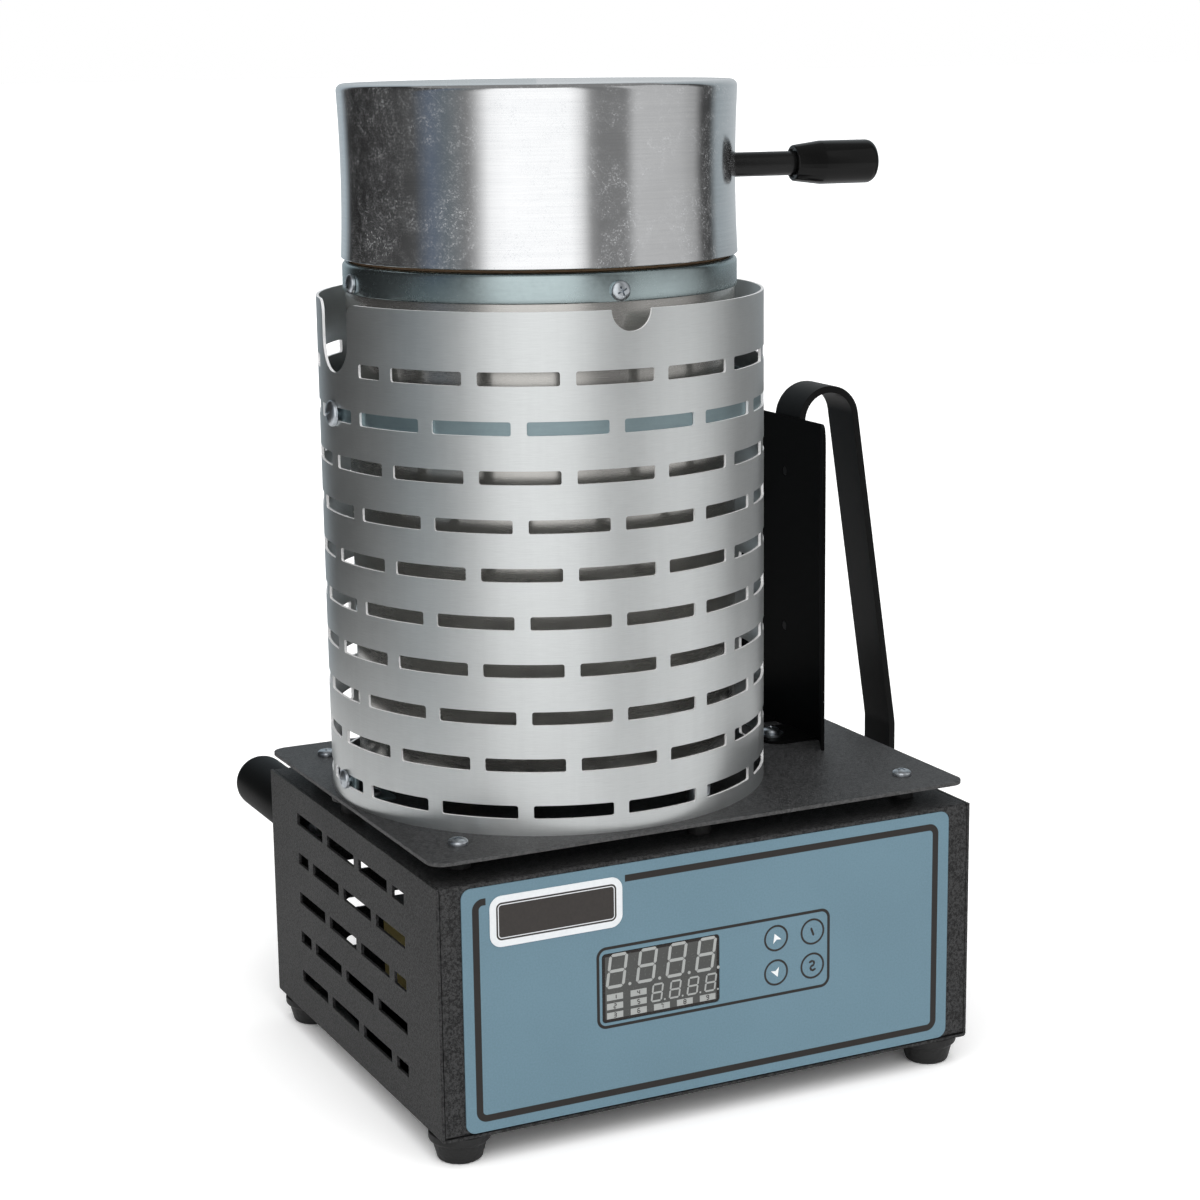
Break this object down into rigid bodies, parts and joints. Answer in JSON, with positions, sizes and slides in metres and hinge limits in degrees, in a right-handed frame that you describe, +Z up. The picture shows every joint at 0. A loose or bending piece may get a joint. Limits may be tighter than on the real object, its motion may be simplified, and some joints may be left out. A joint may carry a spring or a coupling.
{
  "type": "electric melting furnace",
  "caption": "Bench-top electric crucible furnace for melting gold and silver: a lidded upright barrel in a slotted heat shield on a control case, with a guarded pouring handle.",
  "frame": {"origin": "centre of the whole object's footprint box, on the bench under the feet", "axes": "+Z up; the control panel faces -Y; the guard and strap handle are on +X; the rear grip points to +Y"},
  "size_m": [0.2718, 0.27, 0.4105],
  "materials": {
    "case_paint": "fine textured charcoal powder coat",
    "black_paint": "smooth satin black paint",
    "shield_steel": "satin rolled stainless sheet",
    "can_steel": "dull rolled steel",
    "zinc": "bright bluish zinc plate",
    "lid_aluminium": "spun and brushed aluminium",
    "overlay_film": "matt blue-grey printed film",
    "badge_plate": "gloss black plate with a pale border",
    "window_smoke": "smoked window",
    "display_plastic": "dark display housing",
    "board_green": "green solder resist",
    "key_film": "matt blue-grey film keys",
    "black_plastic": "matt black plastic",
    "gloss_black": "polished black phenolic",
    "grip_black": "matt black grip",
    "foot_rubber": "black rubber",
    "fibre": "ceramic fibre",
    "gasket_fibre": "scorched ceramic fibre",
    "refractory": "fired refractory",
    "graphite": "machined graphite",
    "element_wire": "oxidised resistance wire",
    "pin_brass": "plated brass",
    "transformer_iron": "laminated core with an olive winding",
    "wire_sleeve": "silicone sleeved wire"
  },
  "bodies": {
    "furnace": {"chassis_tray": "case_paint", "top_cover": "case_paint", "panel_overlay": "overlay_film", "badge_plate": "badge_plate", "display_window": "window_smoke", "display_module": "display_plastic", "controller_board": "board_green", "board_pillars": "zinc", "tactile_switches": "black_plastic", "rubber_feet": "foot_rubber", "m4_screws": "zinc", "m4_nuts": "zinc", "deck_plate": "case_paint", "deck_spacers": "zinc", "deck_screws": "zinc", "heat_shield": "shield_steel", "support_ring": "zinc", "shield_brackets": "zinc", "shield_screws": "zinc", "furnace_base": "can_steel", "body_pillars": "zinc", "furnace_can": "can_steel", "top_ring": "zinc", "ring_screws": "zinc", "insulation_base": "fibre", "insulation_sleeve": "fibre", "mouth_plate": "refractory", "muffle_tube": "refractory", "heating_element": "element_wire", "lead_bushes": "refractory", "thermocouple": "zinc", "crucible_plinth": "refractory", "crucible": "graphite", "heat_guard": "black_paint", "guard_washers": "zinc", "strap_handle": "black_paint", "strap_rivets": "black_paint", "rear_grip": "grip_black", "rear_grip_bolt": "zinc", "power_inlet": "black_plastic", "inlet_pins": "pin_brass", "inlet_screws": "zinc", "switch_body": "black_plastic", "solid_state_relay": "black_plastic", "relay_heatsink": "lid_aluminium", "control_transformer": "transformer_iron", "terminal_block": "refractory", "internal_wiring": "wire_sleeve"},
    "lid": {"lid_shell": "lid_aluminium", "lid_insulation": "fibre", "lid_retainer": "zinc", "lid_gasket": "gasket_fibre", "lid_rod": "black_paint", "lid_rod_nut": "zinc", "lid_knob": "gloss_black"},
    "rocker": {"power_rocker": "black_plastic"},
    "key_up": {"key_up": "key_film"},
    "key_down": {"key_down": "key_film"},
    "key_function": {"key_function": "key_film"},
    "key_set": {"key_set": "key_film"}
  },
  "joints": [
    {"name": "lid_lift", "type": "slide", "parent": "furnace", "child": "lid", "axis": [0, 0, 1], "range_m": [0, 0.25]},
    {"name": "rocker_tip", "type": "hinge", "parent": "furnace", "child": "rocker", "pos_m": [-0.0006, 0.05205, 0.0565], "axis": [1, 0, 0], "range_deg": [0, 18]},
    {"name": "key_up_press", "type": "slide", "parent": "furnace", "child": "key_up", "axis": [0, 1, 0], "range_m": [0, 0.0005], "stiffness_N_per_m": 1200, "springref_m": -0.0004},
    {"name": "key_down_press", "type": "slide", "parent": "furnace", "child": "key_down", "axis": [0, 1, 0], "range_m": [0, 0.0005], "stiffness_N_per_m": 1200, "springref_m": -0.0004},
    {"name": "key_function_press", "type": "slide", "parent": "furnace", "child": "key_function", "axis": [0, 1, 0], "range_m": [0, 0.0005], "stiffness_N_per_m": 1200, "springref_m": -0.0004},
    {"name": "key_set_press", "type": "slide", "parent": "furnace", "child": "key_set", "axis": [0, 1, 0], "range_m": [0, 0.0005], "stiffness_N_per_m": 1200, "springref_m": -0.0004}
  ]
}
